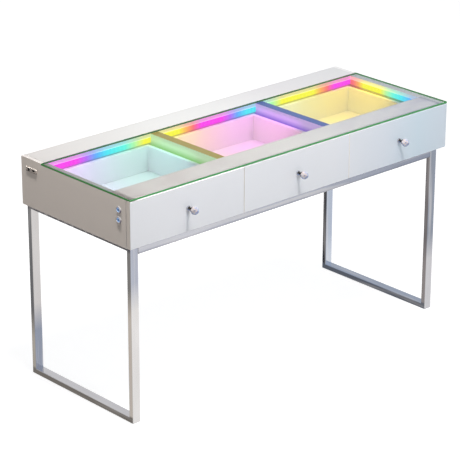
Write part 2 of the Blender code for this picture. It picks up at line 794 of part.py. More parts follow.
def make_rails():
    """Tubes on edge between the sleds, under the front and the rear of the body."""
    reach = SIDE - SLED_INSET - TUBE_WIDE - FIT
    top = BASE - FIT
    starts = (("front_rail", FACE + SLED_SETBACK), ("rear_rail", REAR - TUBE_THIN))
    for name, start in starts:
        corners = ((start, top - TUBE_WIDE), (start + TUBE_THIN, top))
        rail = prism(name, tube_section(*corners, 0), 0, -reach, reach, "chrome")
        rail.data.shade_smooth()
        rail.data.set_sharp_from_angle(angle=math.radians(40))
        inside = tube_section(*corners, TUBE_WALL)
        cut(rail, prism(f"cut_{name}_inside", inside, 0, -reach - THROUGH, reach + THROUGH, "chrome"))


def main():
    for obj in list(bpy.data.objects):
        bpy.data.objects.remove(obj)
    make_side_panels()
    make_liners()
    make_dividers()
    make_boards()
    make_glass_top()
    make_led_strips()
    for name in BAYS:
        make_drawer(name)
    for place, height in BUTTON_HEIGHTS.items():
        make_button(place, height)
    make_port_plate()
    make_power_jack()
    make_usb_socket()
    make_controller()
    make_leads()
    make_sleds()
    make_rails()


main()
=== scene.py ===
import math

import bmesh
import bpy
from mathutils import Euler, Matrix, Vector


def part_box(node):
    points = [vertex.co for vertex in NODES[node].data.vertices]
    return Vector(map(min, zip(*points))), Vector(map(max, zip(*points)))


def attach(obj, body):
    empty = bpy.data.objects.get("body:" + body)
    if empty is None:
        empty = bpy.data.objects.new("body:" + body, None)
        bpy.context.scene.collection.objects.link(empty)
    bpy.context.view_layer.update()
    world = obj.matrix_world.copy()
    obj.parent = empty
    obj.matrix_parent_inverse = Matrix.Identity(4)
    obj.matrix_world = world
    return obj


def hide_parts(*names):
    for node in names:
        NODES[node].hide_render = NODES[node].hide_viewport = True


# Looks for a glass-topped manicure table: white lacquered boards, three drawers under glass, colour-changing
# light strips in the wells, cut-glass knobs, two glowing push buttons and two chrome leg frames.
# Metres. X runs along the table, the drawers open towards -Y, and Z is up from the floor.

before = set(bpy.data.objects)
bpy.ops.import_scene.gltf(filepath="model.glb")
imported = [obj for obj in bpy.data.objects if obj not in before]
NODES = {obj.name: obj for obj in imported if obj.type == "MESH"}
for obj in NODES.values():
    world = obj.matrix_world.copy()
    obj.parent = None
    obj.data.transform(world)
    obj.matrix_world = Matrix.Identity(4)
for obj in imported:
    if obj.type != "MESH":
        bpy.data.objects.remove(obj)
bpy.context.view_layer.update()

# Colours as they look on screen, from 0 to 1
WHITE = (0.93, 0.93, 0.93)
MAGENTA = (1.00, 0.10, 0.94)
VIOLET = (0.72, 0.38, 0.98)
BLUE = (0.33, 0.66, 1.00)
CYAN = (0.22, 0.92, 0.98)
AQUA = (0.34, 0.98, 0.90)
LIME = (0.68, 0.98, 0.66)
YELLOW = (0.99, 0.98, 0.10)
ORANGE = (1.00, 0.68, 0.30)
CORAL = (1.00, 0.38, 0.44)

# light strip: (axis it runs along, [(share of its length, colour)]), from its low end to its high end
RAINBOWS = {
    "led_strip_rear_left": (0, [
        (0.00, MAGENTA), (0.26, MAGENTA), (0.36, VIOLET), (0.45, BLUE), (0.56, CYAN),
        (0.74, AQUA), (0.83, LIME), (0.93, YELLOW),
    ]),
    "led_strip_rear_center": (0, [
        (0.00, YELLOW), (0.20, YELLOW), (0.28, ORANGE), (0.35, CORAL), (0.43, MAGENTA),
        (0.64, MAGENTA), (0.73, VIOLET), (0.80, BLUE), (0.90, CYAN),
    ]),
    "led_strip_rear_right": (0, [
        (0.00, AQUA), (0.10, LIME), (0.21, YELLOW), (0.57, YELLOW), (0.65, ORANGE),
        (0.73, CORAL), (0.81, MAGENTA), (1.00, MAGENTA),
    ]),
    "led_strip_side_left": (1, [
        (0.00, BLUE), (0.20, CYAN), (0.45, AQUA), (0.55, LIME), (0.68, BLUE),
        (0.82, VIOLET), (0.92, MAGENTA),
    ]),
    "led_strip_side_right": (1, [
        (0.00, BLUE), (0.20, BLUE), (0.33, CYAN), (0.43, AQUA), (0.52, LIME), (0.60, YELLOW),
        (0.82, YELLOW), (0.89, ORANGE), (0.96, CORAL),
    ]),
}

# Camera: metres, degrees, and millimetres for its lens and sensor
CAMERA_PLACE = (-4.6527, -5.0194, 3.1316)
CAMERA_TURN = (68.284, -0.137, -42.344)
CAMERA_LENS = 173.89
SENSOR = 36.0

BAYS = ("left", "center", "right")
BOX_WALL = 0.012                    # thickness of a drawer's walls
RUNNER_SHEET = 0.0012               # and of the runners' steel
LAMP_PITCH = 1 / 60                 # between the lamps behind a light strip's diffuser

# Screws: (radius and height of the head)
KNOB_SCREW = (0.0045, 0.0022)
SLED_SCREW = (0.0065, 0.0035)
RAIL_SCREW = (0.0060, 0.0030)
RUNNER_SCREW = (0.0038, 0.0018)
SLED_SCREW_SETBACK = 0.110          # from each end of a leg frame's top bar
SLED_TUBE = 0.018
RAIL_SCREW_SHARES = (0.12, 0.5, 0.88)
RUNNER_SCREW_SHARES = (0.10, 0.50, 0.90)

# Ball cages between the runners
BALLS = 8
BALL_PITCH = 0.014
CAGE_START = 0.006
CAGE_HALF_WIDTH = 0.0021
CAGE_HALF_SHEET = 0.0004

# Floor
FLOOR_SIDE = 14.0
FLOOR_DROP = 0.0005
FLOOR_GLOW = 0.85
FLOOR_BOUNCE = 0.22
FLOOR_COLOUR = (0.45, 0.45, 0.45)


def linear(colour):
    """The shader's value for a colour given as it looks on screen."""
    return tuple(c / 12.92 if c <= 0.04045 else ((c + 0.055) / 1.055) ** 2.4 for c in colour)


def dimmed(colour, share):
    """The shader's value for a colour darkened to a share of how it looks."""
    return linear(tuple(c * share for c in colour))


class Graph:
    """One material or world tree. An input is given a number, a colour, or another node's output."""

    def __init__(self, owner, output_kind):
        self.owner = owner
        owner.use_nodes = True
        self.tree = owner.node_tree
        self.tree.nodes.clear()
        self.output = self.node(output_kind)

    def node(self, kind, inputs=(), **settings):
        made = self.tree.nodes.new(kind)
        for name, value in settings.items():
            setattr(made, name, value)
        for key, value in dict(inputs).items():
            self.feed(made.inputs[key], value)
        return made

    def feed(self, socket, value):
        if isinstance(value, bpy.types.NodeSocket):
            self.tree.links.new(value, socket)
        elif isinstance(value, tuple) and len(value) == 3 and socket.type == "RGBA":
            socket.default_value = (*value, 1.0)
        else:
            socket.default_value = value

    def place(self):
        """The point on the piece, in its own frame, which is the table's frame for every piece here."""
        return self.node("ShaderNodeTexCoord").outputs["Object"]

    def parts(self, vector):
        return self.node("ShaderNodeSeparateXYZ", {"Vector": vector}).outputs

    def spot(self):
        """The x, y and z of the point on the piece."""
        return self.parts(self.place())

    def normals(self, kind="Normal"):
        """The x, y and z of the direction that the surface faces."""
        return self.parts(self.node("ShaderNodeNewGeometry").outputs[kind])

    def calculate(self, operation, *values):
        return self.node("ShaderNodeMath", enumerate(values), operation=operation).outputs[0]

    def times(self, first, second):
        return self.calculate("MULTIPLY", first, second)

    def along(self, value, low, high, **settings):
        """0 at low and 1 at high, and held beyond them."""
        inputs = {"Value": value, "From Min": low, "From Max": high}
        return self.node("ShaderNodeMapRange", inputs, **settings).outputs[0]

    def between(self, value, low, high):
        """A number from low to high as value goes from 0 to 1."""
        inputs = {"Value": value, "To Min": low, "To Max": high}
        return self.node("ShaderNodeMapRange", inputs).outputs[0]

    def mix(self, share, first, second, how="MIX"):
        made = self.node("ShaderNodeMix", data_type="RGBA", blend_type=how)
        for index, value in ((0, share), (6, first), (7, second)):
            self.feed(made.inputs[index], value)
        return made.outputs[2]

    def tint(self, first, second):
        """The product of two colours."""
        return self.mix(1.0, first, second, "MULTIPLY")

    def blend(self, share, first, second):
        """A mix of two shaders."""
        return self.node("ShaderNodeMixShader", {0: share, 1: first, 2: second}).outputs[0]

    def ramp(self, value, stops):
        made = self.node("ShaderNodeValToRGB", {"Fac": value})
        elements = made.color_ramp.elements
        while len(elements) < len(stops):
            elements.new(1.0)
        for element, (position, colour) in zip(elements, stops):
            element.position = position
            element.color = (*linear(colour), 1.0)
        return made.outputs[0]

    def noise(self, scale, detail=3.0, stretch=(1, 1, 1)):
        placed = self.node("ShaderNodeMapping", {"Vector": self.place(), "Scale": stretch})
        inputs = {"Vector": placed.outputs[0], "Scale": scale, "Detail": detail}
        return self.node("ShaderNodeTexNoise", inputs).outputs["Fac"]

    def bump(self, height, depth, strength=1.0):
        inputs = {"Height": height, "Distance": depth, "Strength": strength}
        return self.node("ShaderNodeBump", inputs).outputs["Normal"]


def new_material(name):
    return Graph(bpy.data.materials.new(name), "ShaderNodeOutputMaterial")


def finished(graph, shader):
    """The graph's material or world, with this shader on its surface."""
    graph.feed(graph.output.inputs["Surface"], shader)
    return graph.owner


def surface(graph, colour, roughness, normal=None, **constants):
    """A Principled shader. Its constants are set on its own sockets, so that the export keeps them."""
    inputs = {"Base Color": colour, "Roughness": roughness}
    if normal is not None:
        inputs["Normal"] = normal
    inputs.update({name.replace("_", " "): value for name, value in constants.items()})
    return graph.node("ShaderNodeBsdfPrincipled", inputs).outputs[0]


def paint(node, material):
    """Gives a CAD node or a piece its one material."""
    node.data.materials.clear()
    node.data.materials.append(material)


# ---------------------------------------------------------------- materials

def lacquer_parts(graph, tone):
    """Sprayed lacquer: cloudy tone, faint dust, soft orange peel. Returns colour, roughness and normal."""
    cloud = graph.noise(3.5, 2.0)
    speck = graph.noise(420.0, 1.0)
    dusty = graph.calculate("GREATER_THAN", speck, 0.76)
    shade = graph.mix(cloud, dimmed(tone, 0.975), linear(tone))
    dusted = graph.mix(graph.times(dusty, 0.10), shade, linear((0.62, 0.60, 0.57)))
    rubbed = graph.noise(14.0, 5.0, (1.0, 1.0, 2.5))
    roughness = graph.between(rubbed, 0.24, 0.40)
    peel = graph.noise(230.0, 2.0)
    return dusted, roughness, graph.bump(peel, 0.00006, 0.35)


def white_lacquer():
    graph = new_material("white_lacquer")
    colour, roughness, normal = lacquer_parts(graph, WHITE)
    return finished(graph, surface(graph, colour, roughness, normal, Coat_Weight=0.25, Coat_Roughness=0.12))


def lacquer_with_painted_light(name, painted_casts, painted_reflection_share=0.0):
    """Lacquer on boards that run the table's length, with the room's light painted on: warm left, cool right.
    The board under the glass is clouded by painted reflections, and the top edges of the others have painted
    shade for the glass's shade."""
    graph = new_material(name)
    tone, roughness, normal = lacquer_parts(graph, WHITE)
    low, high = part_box("glass_top")
    across = graph.spot()[0]
    # The room's light is painted on, ramped along the table: warm to the left, cool to the right.
    painted_cast = graph.ramp(graph.along(across, low[0], high[0]), painted_casts)
    # Painted reflections cloud the board under the glass.
    if painted_reflection_share:
        cloud = graph.along(graph.noise(16.0, 4.0, (0.6, 1.0, 1.0)), 0.42, 0.62)
        painted_cast = graph.mix(graph.times(cloud, painted_reflection_share), painted_cast, linear((0.95, 0.94, 0.92)))
    normals = graph.normals()
    facing = normals[0]
    # Faces towards the left get a painted warm shade.
    painted_cast = graph.mix(graph.along(facing, -0.5, -0.9), painted_cast, linear(LEFT_SIDE_PAINTED_SHADE))
    colour = graph.tint(tone, painted_cast)
    # Painted shade darkens the up-facing edges of boards that aren't under the glass.
    if not painted_reflection_share:
        painted_top_shade = graph.along(normals[2], 0.5, 0.8)
        colour = graph.mix(painted_top_shade, colour, graph.tint(colour, (0.45, 0.45, 0.45)))
    # A painted glow lightens the end faces beside the middle drawer's seams.
    past_seams = 1.2 * abs(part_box("left_divider")[1][0])
    at_seam = graph.calculate("LESS_THAN", graph.calculate("ABSOLUTE", across), past_seams)
    end_face = graph.along(graph.calculate("ABSOLUTE", facing), 0.6, 0.9)
    painted_seam_glow = graph.times(graph.times(at_seam, end_face), 0.16)
    return finished(graph, surface(graph, colour, roughness, normal, Coat_Weight=0.25, Coat_Roughness=0.12,
                                   Emission_Color=colour, Emission_Strength=painted_seam_glow))


def deck_lacquer():
    """The rear deck, with the room's light painted on along its length. The strips' light is painted on its
    front edge as a pale tint and glow, which shows through the glass.
    """
    graph = new_material("deck_lacquer")
    tone, roughness, normal = lacquer_parts(graph, WHITE)
    place = graph.spot()
    low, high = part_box("rear_deck")
    painted_cast = graph.ramp(graph.along(place[0], low[0], high[0]), PAINTED_ROOM_LIGHT["deck"])
    facing = graph.normals()[1]
    # Painted light from the strips: a pale tint and glow on the deck's front edge.
    lit = graph.times(graph.along(facing, -0.5, -0.8), graph.along(place[1], low[1] + 0.004, low[1]))
    pale = graph.tint(graph.mix(0.55, tone, rear_rainbow(graph)), (0.78, 0.74, 0.80))
    colour = graph.mix(lit, graph.tint(tone, painted_cast), pale)
    return finished(graph, surface(graph, colour, roughness, normal, Coat_Weight=0.25, Coat_Roughness=0.12,
                                   Emission_Color=pale, Emission_Strength=graph.times(lit, 0.62)))


def drawer_bottom_board():
    """Thin melamine-faced board, with a fine paper grain."""
    graph = new_material("drawer_bottom_board")
    grain = graph.noise(90.0, 4.0, (1.0, 0.08, 1.0))
    cloud = graph.noise(5.0, 2.0)
    shade = graph.mix(cloud, linear((0.90, 0.90, 0.90)), linear((0.94, 0.94, 0.94)))
    shade = graph.mix(graph.times(grain, 0.08), shade, linear((0.78, 0.78, 0.77)))
    roughness = graph.between(grain, 0.42, 0.58)
    return finished(graph, surface(graph, shade, roughness, graph.bump(grain, 0.00008, 0.4)))


def rainbow(graph, strip):
    """The strip's colour at each point, and the point's place along it in metres."""
    axis, stops = RAINBOWS[strip]
    low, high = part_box(strip)
    across = graph.spot()[axis]
    return graph.ramp(graph.along(across, low[axis], high[axis]), stops), across


def led_diffuser(strip):
    """A lit silicone diffuser: the colours run into each other, a little brighter over each lamp."""
    graph = new_material(f"led_{strip}")
    colour, across = rainbow(graph, strip)
    wave = graph.calculate("SINE", graph.times(across, math.tau / LAMP_PITCH))
    pulse = graph.between(graph.along(wave, -1.0, 1.0), 0.98, 1.02)
    grain = graph.noise(600.0, 2.0)
    strength = graph.times(pulse, graph.between(grain, 0.98, 1.02))
    dim = graph.mix(0.98, colour, linear((0.04, 0.04, 0.04)))
    shader = surface(graph, dim, graph.between(grain, 0.40, 0.55), graph.bump(grain, 0.00005, 0.3),
                     IOR=1.2, Emission_Color=colour, Emission_Strength=strength)
    return finished(graph, shader)


def rear_rainbow(graph):
    """The colour of the rear strip in front of each part of the wall that all three bays share."""
    across = graph.spot()[0]
    colour, _ = rainbow(graph, "led_strip_rear_left")
    for bay in ("center", "right"):
        strip = f"led_strip_rear_{bay}"
        past = graph.calculate("GREATER_THAN", across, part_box(strip)[0][0] - 0.016)
        colour = graph.mix(past, colour, rainbow(graph, strip)[0])
    return colour


def well_wall(name, strip):
    """Lacquer with a light strip's light painted on: a pale painted tint and glow above the strip, and a
    deeper, darker line of painted shade below it.
    """
    graph = new_material(name)
    tone, roughness, normal = lacquer_parts(graph, WHITE)
    colour = rear_rainbow(graph) if name == "well_back_wall" else rainbow(graph, strip)[0]
    strip_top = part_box(strip)[1][2]
    above = graph.along(graph.spot()[2], strip_top - 0.003, strip_top)
    facing = graph.normals()[2]
    top = graph.along(facing, 0.6, 0.9)
    # Painted light above the strip and painted shade below it, in the strip's colour.
    pale = graph.mix(0.52, tone, colour)
    painted_deep_shade = graph.mix(0.45, graph.tint(tone, colour), linear((0.60, 0.58, 0.62)))
    painted_tint = graph.mix(above, painted_deep_shade, pale)
    glow = graph.times(graph.between(above, 0.10, 0.52), graph.between(top, 1.0, 0.0))
    shader = surface(graph, graph.mix(top, painted_tint, tone), roughness, normal,
                     Coat_Weight=0.2, Coat_Roughness=0.15,
                     Emission_Color=graph.mix(0.5, painted_tint, pale), Emission_Strength=glow)
    return finished(graph, shader)


def divider(name, side_painted_light, line_painted_shade, top_painted_light):
    """A lacquered divider with the wells' light painted on as a tint and glow: painted shade deepens its
    sides towards the drawers.
    Its top has painted shade under a coloured painted glow."""
    graph = new_material(name)
    tone, roughness, normal = lacquer_parts(graph, WHITE)
    height = graph.spot()[2]
    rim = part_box("left_drawer_box")[1][2]
    # Painted shade deepens the sides towards the drawers.
    depth = graph.along(height, rim + 0.014, rim - 0.004)
    side = graph.mix(depth, linear(side_painted_light), linear(line_painted_shade))
    facing = graph.normals()[2]
    top = graph.along(facing, 0.6, 0.9)
    tint = graph.mix(top, side, linear(top_painted_light))
    # Painted shade: a little over half on the sides, darker still on the top.
    shaded = graph.mix(top, (0.55, 0.55, 0.55), (0.18, 0.18, 0.18))
    colour = graph.tint(graph.tint(tone, tint), shaded)
    glow = graph.between(top, 0.55, 0.40)
    shader = surface(graph, colour, roughness, normal, Emission_Color=tint, Emission_Strength=glow)
    return finished(graph, shader)


def clear_glass():
    """Float glass: clear through its faces, green where the light runs along inside it to the edges, with a
    painted glow on those edges.
    """
    graph = new_material("clear_glass")
    smudge = graph.noise(9.0, 5.0)
    wipe = graph.noise(26.0, 3.0, (1.0, 0.12, 1.0))
    roughness = graph.between(graph.times(smudge, wipe), 0.02, 0.09)
    gloss = {"Color": (0.9, 0.95, 0.93), "Roughness": roughness}
    shine = graph.node("ShaderNodeBsdfGlossy", gloss).outputs[0]
    clear = graph.node("ShaderNodeBsdfTransparent", {"Color": (0.985, 0.992, 0.987)}).outputs[0]
    geometry = graph.node("ShaderNodeNewGeometry").outputs
    fresnel = graph.node("ShaderNodeFresnel", {"IOR": 1.5}).outputs[0]
    outside = graph.calculate("SUBTRACT", 0.55, graph.times(geometry["Backfacing"], 0.55))
    pane = graph.blend(graph.times(fresnel, outside), clear, shine)
    facing = graph.parts(geometry["True Normal"])[2]
    edge = graph.calculate("LESS_THAN", graph.calculate("ABSOLUTE", facing), 0.8)
    place = graph.spot()
    low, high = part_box("glass_top")
    at_rear = graph.calculate("GREATER_THAN", place[1], high[1] - 0.002)
    to_front = graph.along(place[1], low[1] + 0.0099, low[1] + 0.0004)
    streak = graph.noise(40.0, 3.0)
    edge_tone = graph.mix(to_front, linear((0.14, 0.50, 0.20)), linear((0.26, 0.58, 0.32)))
    edge_tone = graph.mix(graph.times(streak, 0.5), edge_tone, linear((0.10, 0.36, 0.15)))
    edge_tone = graph.mix(at_rear, edge_tone, linear((0.02, 0.36, 0.08)))
    edge_roughness = graph.between(streak, 0.15, 0.3)
    # A painted glow over the edges' green; the edge tone is lighter towards the front edge and darker at the
    # rear.
    rim = surface(graph, edge_tone, edge_roughness, graph.bump(streak, 0.0001, 0.3), IOR=1.5,
                  Emission_Color=edge_tone, Emission_Strength=0.35)
    seen = graph.blend(edge, pane, rim)
    soft = 0.005
    well_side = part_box("right_liner")[0][0]
    well_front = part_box("front_top_strip")[1][1]
    inside = graph.along(graph.calculate("ABSOLUTE", place[0]), well_side + soft, well_side - soft)
    behind = graph.along(place[1], well_front - soft, well_front + soft)
    over_well = graph.times(inside, behind)
    across = graph.along(place[0], low[0], high[0])
    over_boards = graph.ramp(across, [(0.018, (0.68, 0.645, 0.62)), (0.024, (0.97, 0.97, 0.97)),
                                      (0.976, (0.97, 0.97, 0.97)), (0.982, (0.82, 0.82, 0.85))])
    lamp_share = graph.mix(over_well, over_boards, (0.40, 0.40, 0.40))
    for_lamps = graph.node("ShaderNodeBsdfTransparent", {"Color": lamp_share}).outputs[0]
    is_lamp = graph.node("ShaderNodeLightPath").outputs["Is Shadow Ray"]
    return finished(graph, graph.blend(is_lamp, seen, for_lamps))


def polished_metal(name, tone, low_roughness, high_roughness, wave=0.00002):
    """Plated steel: faint polishing waves, smudges that dull it, and wear on its sharper edges."""
    graph = new_material(name)
    cloud = graph.noise(11.0, 5.0)
    fine = graph.noise(160.0, 3.0, (1.0, 1.0, 0.3))
    wear = graph.along(graph.node("ShaderNodeNewGeometry").outputs["Pointiness"], 0.53, 0.60)
    shade = graph.mix(graph.times(cloud, 0.35), linear(tone), dimmed(tone, 0.93))
    shade = graph.mix(graph.times(wear, 0.25), shade, linear((0.74, 0.71, 0.66)))
    roughness = graph.between(graph.times(cloud, fine), low_roughness, high_roughness)
    return finished(graph, surface(graph, shade, roughness, graph.bump(cloud, wave, 0.6), Metallic=1.0))


def chrome_skin(graph, tone, streak):
    """Plated tube: painted highlight streaks and painted waves of reflection over the painted reflection tone
    of each face, and smudges in its roughness. Returns a shader.
    """
    # Painted waves of reflection darken the tone in places.
    cloud = graph.along(graph.noise(7.0, 4.0, (1.0, 1.0, 0.6)), 0.35, 0.65)
    shade = graph.mix(graph.times(cloud, 0.30), tone, (0.70, 0.69, 0.68), "MULTIPLY")
    # Painted highlight streaks.
    shine = graph.times(graph.along(streak, 0.52, 0.70), 0.40)
    shade = graph.mix(shine, shade, linear((0.90, 0.89, 0.89)))
    smudge = graph.noise(120.0, 3.0, (1.0, 1.0, 0.4))
    roughness = graph.between(smudge, 0.04, 0.18)
    return surface(graph, shade, roughness, graph.bump(streak, 0.0002, 0.5), Metallic=1.0)


def leg_chrome(name, tones):
    """Chrome legs with the pale room's reflection painted on: each face has its own painted tone, which
    changes with height.
    tones names each face: (its upper tone, its lower tone, the share of the height where they meet)."""
    graph = new_material(f"chrome_{name}")
    place = graph.spot()
    normal = graph.normals("True Normal")
    front_face = graph.along(graph.calculate("ABSOLUTE", normal[1]), 0.55, 0.80)
    top_face = graph.along(normal[2], 0.55, 0.80)
    behind = graph.along(place[1], 0.0, 0.05)
    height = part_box(name)[1][2]

    def by_height(face):
        upper, lower, meeting = tones[face]
        share = graph.along(place[2], (meeting + 0.08) * height, (meeting - 0.08) * height)
        return graph.mix(share, linear(upper), linear(lower))

    side = graph.mix(behind, by_height("front_leg_side"), by_height("rear_leg_side"))
    # Painted shade on the sides of the top bar, just under the body.
    under_body = graph.along(place[2], height - 0.024, height - 0.016)
    side = graph.mix(under_body, side, linear(tones["top_bar"]))
    bar = graph.along(place[2], 0.026, 0.018)
    side = graph.mix(bar, side, linear(tones["floor_bar"]))
    front = graph.mix(behind, by_height("front_leg_front"), by_height("rear_leg_front"))
    tone = graph.mix(front_face, side, front)
    tone = graph.mix(top_face, tone, linear(tones["bar_top"]))
    lengthwise = graph.node("ShaderNodeMix", {2: graph.noise(60.0, 4.0, (1.0, 1.0, 0.05)),
                                              3: graph.noise(60.0, 4.0, (1.0, 0.05, 1.0)), 0: bar}).outputs[0]
    return finished(graph, chrome_skin(graph, tone, lengthwise))


def rail_chrome():
    """The rails under the body, with the room's reflection painted on: paler towards their left end, with a
    painted highlight on the upper edge and painted shade along the foot.
    """
    graph = new_material("chrome_rails")
    place = graph.spot()
    low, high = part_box("front_rail")
    across = graph.along(place[0], low[0], high[0])
    tones = [(0.0, (0.82, 0.83, 0.87)), (0.45, (0.74, 0.76, 0.81)), (1.0, (0.58, 0.61, 0.68))]
    tone = graph.ramp(across, tones)
    # Painted highlight along the upper edge.
    edge = graph.along(place[2], high[2] - 0.007, high[2] - 0.001)
    tone = graph.mix(graph.times(edge, 0.6), tone, linear((0.90, 0.91, 0.93)))
    # Painted shade along the foot.
    foot = graph.along(place[2], low[2] + 0.008, low[2] + 0.002)
    tone = graph.mix(graph.times(foot, 0.5), tone, linear((0.46, 0.48, 0.54)))
    return finished(graph, chrome_skin(graph, tone, graph.noise(60.0, 4.0, (0.05, 1.0, 1.0))))


def brushed_metal(name, tone, stretch, low_roughness=0.28, high_roughness=0.46):
    """Rolled or brushed steel, with its grain along one axis."""
    graph = new_material(name)
    grain = graph.noise(260.0, 4.0, stretch)
    cloud = graph.noise(18.0, 3.0)
    shade = graph.mix(grain, dimmed(tone, 0.88), linear(tone))
    shade = graph.mix(graph.times(cloud, 0.2), shade, linear((0.45, 0.44, 0.42)))
    roughness = graph.between(grain, low_roughness, high_roughness)
    return finished(graph, surface(graph, shade, roughness, graph.bump(grain, 0.00004, 0.4), Metallic=1.0))


def moulded_plastic(name, tone, low_roughness=0.35, high_roughness=0.5, scale=900.0):
    """Moulded plastic with a fine spark texture and slight handling marks."""
    graph = new_material(name)
    texture = graph.noise(scale, 2.0)
    mark = graph.noise(35.0, 4.0)
    shade = graph.mix(mark, dimmed(tone, 0.92), linear(tone))
    roughness = graph.between(mark, low_roughness, high_roughness)
    return finished(graph, surface(graph, shade, roughness, graph.bump(texture, 0.00003, 0.5)))


def cut_glass():
    """The crystal of a knob. The room's light that its facets bend is painted on by the way each facet faces:
    cream above and to the left, slate blue to the right."""
    graph = new_material("cut_glass")
    normal = graph.node("ShaderNodeNewGeometry").outputs["True Normal"]
    # Painted light and reflection, chosen by which way each facet faces.
    towards = graph.node("ShaderNodeVectorMath", {0: normal, 1: (0.62, 0.10, -0.60)}, operation="DOT_PRODUCT")
    scatter = graph.node("ShaderNodeTexNoise", {"Vector": normal, "Scale": 2.2, "Detail": 1.0}).outputs["Fac"]
    place = graph.calculate("MULTIPLY_ADD", towards.outputs["Value"], 0.45,
                            graph.calculate("MULTIPLY_ADD", scatter, 1.3, 0.06))
    tone = graph.ramp(place, [
        (0.18, (0.95, 0.96, 0.99)), (0.34, (0.92, 0.83, 0.80)), (0.46, (0.96, 0.92, 0.91)),
        (0.56, (0.80, 0.82, 0.92)), (0.68, (0.52, 0.57, 0.76)), (0.84, (0.80, 0.86, 0.98)),
    ])
    rub = graph.noise(300.0, 3.0)
    roughness = graph.between(rub, 0.02, 0.08)
    return finished(graph, surface(graph, tone, roughness, graph.bump(rub, 0.00001, 0.2),
                                   IOR=1.52, Transmission_Weight=0.12, Coat_Weight=0.3, Coat_Roughness=0.03))


def button_chrome():
    """A button's housing and collar: the face has the pale room's reflection painted on, and the rim
    a painted highlight and glow above and painted shade below."""
    graph = new_material("button_metal")
    normal = graph.normals()
    cloud = graph.noise(90.0, 3.0)
    rim = graph.along(graph.calculate("ABSOLUTE", normal[0]), 0.85, 0.55)
    up = graph.along(normal[2], -0.15, 0.45)
    # Painted light and shade on the rim: white above, dark navy below.
    wall = graph.mix(up, linear((0.16, 0.16, 0.40)), linear((1.0, 1.0, 1.0)))
    tone = graph.mix(rim, linear((0.74, 0.72, 0.74)), wall)
    tone = graph.mix(graph.times(cloud, 0.25), tone, (0.60, 0.60, 0.60), "MULTIPLY")
    # A painted glint glows on the rim's upper side.
    painted_glint = graph.times(graph.times(rim, up), 0.35)
    roughness = graph.between(cloud, 0.06, 0.20)
    return finished(graph, surface(graph, tone, roughness, graph.bump(cloud, 0.00003, 0.4), Metallic=1.0,
                                   Emission_Color=tone, Emission_Strength=painted_glint))


def lip_plastic():
    """The raised edge of the port plate: light is painted on its upper part, and painted shade on the lower.
    """
    graph = new_material("port_lip")
    normal = graph.normals()
    texture = graph.noise(900.0, 2.0)
    mark = graph.noise(35.0, 4.0)
    up = graph.along(normal[2], 0.05, 0.5)
    face = graph.mix(up, linear((0.72, 0.69, 0.65)), linear((0.76, 0.75, 0.73)))
    low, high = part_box("port_plate")
    below = graph.along(graph.spot()[2], (low[2] + high[2]) / 2, low[2] + 0.003)
    # Painted shadow on the lower part and the downward faces.
    shaded = graph.calculate("MAXIMUM", graph.along(normal[2], -0.05, -0.5), below)
    tone = graph.mix(shaded, face, linear((0.20, 0.18, 0.17)))
    tone = graph.mix(graph.times(mark, 0.1), tone, (0.70, 0.70, 0.70), "MULTIPLY")
    roughness = graph.between(mark, 0.3, 0.45)
    return finished(graph, surface(graph, tone, roughness, graph.bump(texture, 0.00003, 0.5)))


def stem_metal():
    """A knob's stem with painted reflections: its foot has the drawer front's tone painted on, and its neck
    the dark behind the ball, blue-grey underneath.
    """
    graph = new_material("knob_metal")
    place = graph.spot()
    normal = graph.normals()
    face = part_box("center_drawer_front")[0][1]
    cloud = graph.noise(90.0, 3.0)
    neck = graph.along(place[1], face - 0.0020, face - 0.0045)
    up = graph.along(normal[2], -0.5, 0.3)
    # Painted reflection on the neck: dark on its upper side, blue-grey underneath.
    dark = graph.mix(up, linear((0.50, 0.58, 0.74)), linear((0.28, 0.26, 0.23)))
    tone = graph.mix(neck, linear((0.80, 0.81, 0.85)), dark)
    tone = graph.mix(graph.times(cloud, 0.25), tone, (0.60, 0.60, 0.60), "MULTIPLY")
    roughness = graph.between(cloud, 0.06, 0.20)
    return finished(graph, surface(graph, tone, roughness, graph.bump(cloud, 0.00003, 0.4), Metallic=1.0))


def glow_ring(name, tone, strength):
    """The lit lens ring of a push button."""
    graph = new_material(name)
    grain = graph.noise(700.0, 2.0)
    glow = graph.mix(grain, dimmed(tone, 0.93), linear(tone))
    shader = surface(graph, linear((0.45, 0.6, 0.7)), graph.between(grain, 0.18, 0.3),
                     graph.bump(grain, 0.00003, 0.3), Emission_Color=glow, Emission_Strength=strength)
    return finished(graph, shader)


# ---------------------------------------------------------------- shading of the CAD nodes

def drop_packed_normals(node):
    normals = node.data.attributes.get("custom_normal")
    if normals:
        node.data.attributes.remove(normals)


def weld(node):
    """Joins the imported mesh's facets again, so that it can be shaded smoothly."""
    drop_packed_normals(node)
    node.data.shade_smooth()
    joined = node.modifiers.new("weld", "WELD")
    joined.merge_threshold = 0.00001


def soften_board(node, width=0.0004):
    """Broken edges that catch the light, on a board or pane whose faces stay flat."""
    weld(node)
    merged = node.modifiers.new("flat_faces", "DECIMATE")
    merged.decimate_type = "DISSOLVE"
    merged.angle_limit = math.radians(0.5)
    rounded = node.modifiers.new("broken_edges", "BEVEL")
    rounded.width = width
    rounded.segments = 2
    rounded.limit_method = "ANGLE"
    rounded.angle_limit = math.radians(60)
    flat = node.modifiers.new("flat_shading", "WEIGHTED_NORMAL")
    flat.keep_sharp = False


def smooth_turned(node, angle=38):
    """Smooth round walls and crisp rims, on a turned part."""
    weld(node)
    split = node.modifiers.new("crisp_rims", "EDGE_SPLIT")
    split.split_angle = math.radians(angle)


def facet(node):
    """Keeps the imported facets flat, on a cut crystal."""
    drop_packed_normals(node)
    node.data.shade_flat()


# ---------------------------------------------------------------- detail pieces

